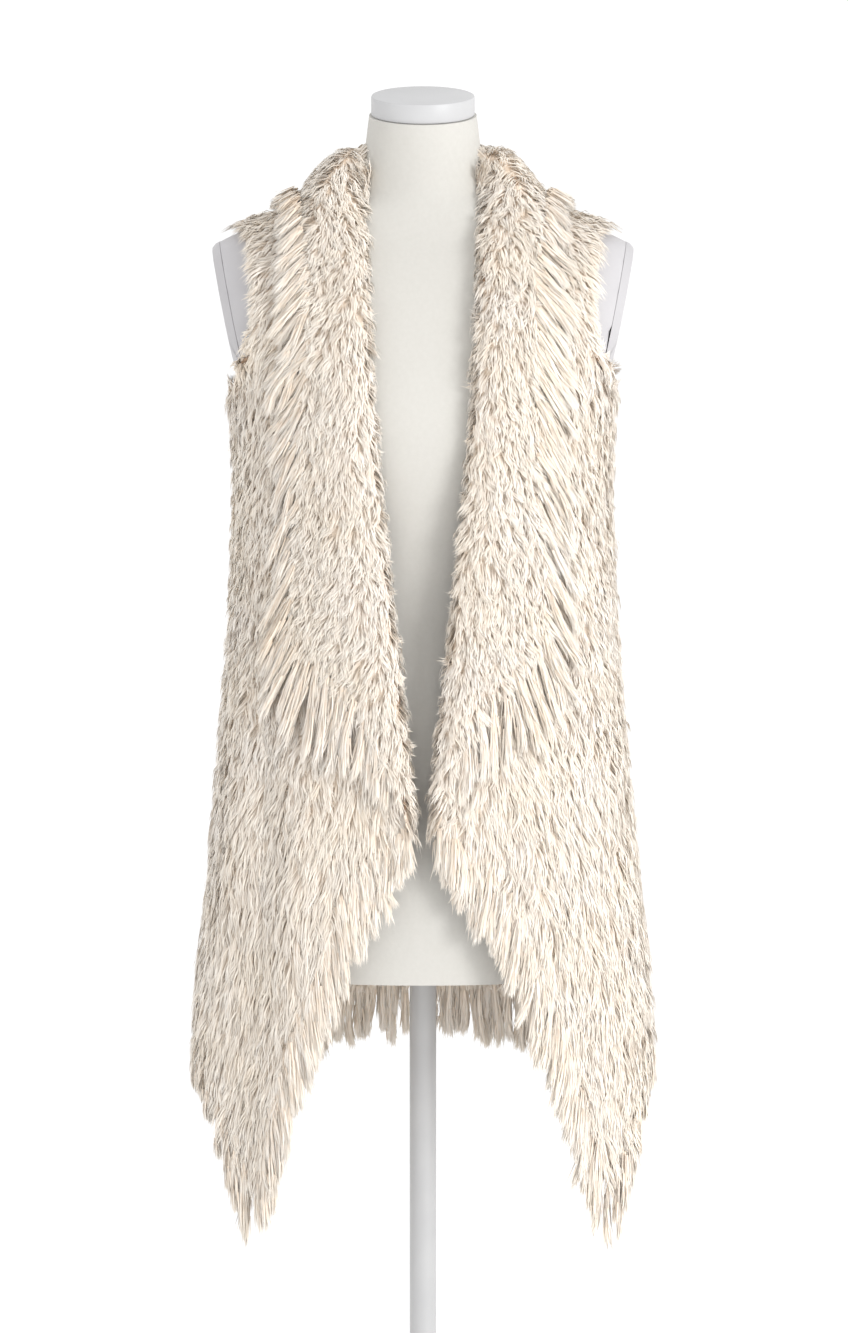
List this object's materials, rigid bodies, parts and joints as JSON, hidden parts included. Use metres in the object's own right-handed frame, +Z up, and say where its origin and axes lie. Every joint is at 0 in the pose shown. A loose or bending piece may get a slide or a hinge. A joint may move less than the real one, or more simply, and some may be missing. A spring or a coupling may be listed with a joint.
{
  "type": "fur vest on dress form",
  "caption": "Open-fronted sleeveless fur vest with a fringed shawl collar and waterfall fronts, worn by a limbless dress form on a pole stand.",
  "frame": {"origin": "middle of the stand's underside, on the floor", "axes": "+Z up along the pole, -Y towards the vest's open front, +X towards the wearer's left"},
  "size_m": [0.4319, 0.34, 1.567],
  "materials": {
    "fur_cream": "long cream fur pile on a knitted ground",
    "form_linen": "off-white plain linen, pulled smooth",
    "form_enamel": "satin white",
    "stand_steel": "satin pale grey paint"
  },
  "bodies": {
    "root": {"form_arm_plate_left": "form_enamel", "form_arm_plate_right": "form_enamel", "form_neck_cap": "form_enamel", "form_torso": "form_linen", "fringe_back_left": "fur_cream", "fringe_back_right": "fur_cream", "fringe_collar_left": "fur_cream", "fringe_collar_right": "fur_cream", "fringe_front_left": "fur_cream", "fringe_front_right": "fur_cream", "fringe_hem_left": "fur_cream", "fringe_hem_right": "fur_cream", "stand_base": "stand_steel", "stand_hub": "stand_steel", "stand_pole": "stand_steel", "vest_back": "fur_cream", "vest_collar_left": "fur_cream", "vest_collar_right": "fur_cream", "vest_front_left": "fur_cream", "vest_front_right": "fur_cream"}
  },
  "joints": []
}
